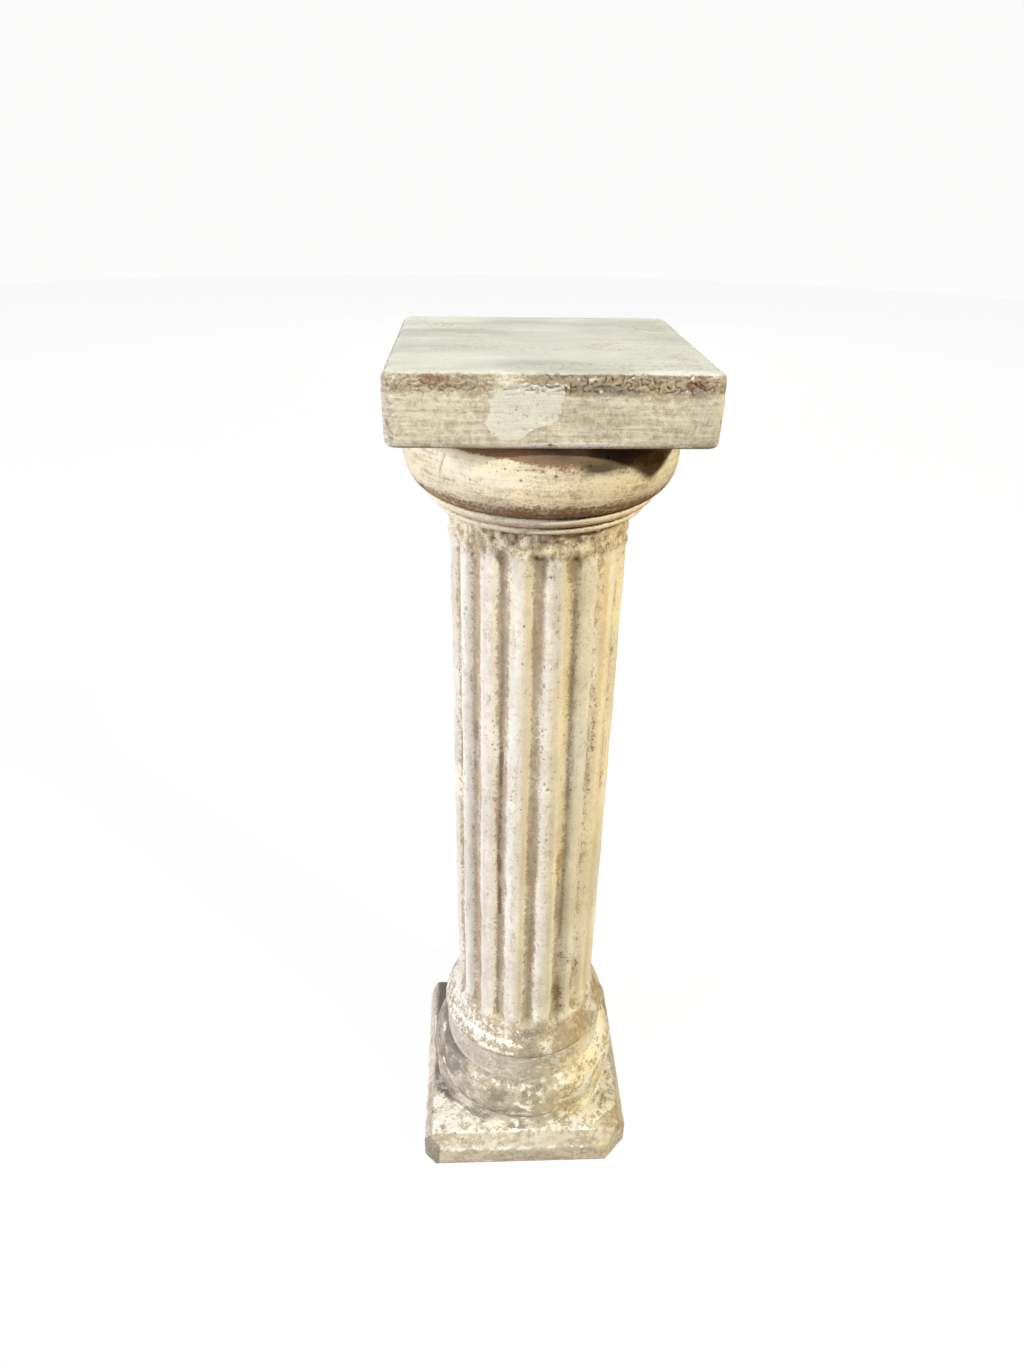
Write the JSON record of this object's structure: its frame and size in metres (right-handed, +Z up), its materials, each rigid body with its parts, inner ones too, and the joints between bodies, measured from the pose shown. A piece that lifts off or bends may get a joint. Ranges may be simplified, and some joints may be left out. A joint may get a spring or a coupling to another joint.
{
  "type": "decorative column",
  "caption": "Short classical pedestal column in whitewashed cast stone: fluted shaft on a moulded base and square plinth, with a rounded capital and a square top slab.",
  "frame": {"origin": "middle of the plinth's underside, on the ground", "axes": "+Z up along the column's axis, -Y towards the front face seen in the picture, +X to the right of it"},
  "size_m": [0.2442, 0.2442, 0.92],
  "materials": {
    "whitewashed_cast_stone": "worn whitewash over a tan cast stone, matt, with grey-brown dirt in the hollows and bare patches on the edges",
    "brushed_limewash_slab": "limewash brushed on sideways over rough cast stone, matt, with pitted and stained arrises"
  },
  "bodies": {
    "root": {"fluted_column": "whitewashed_cast_stone", "top_slab": "brushed_limewash_slab"}
  },
  "joints": []
}
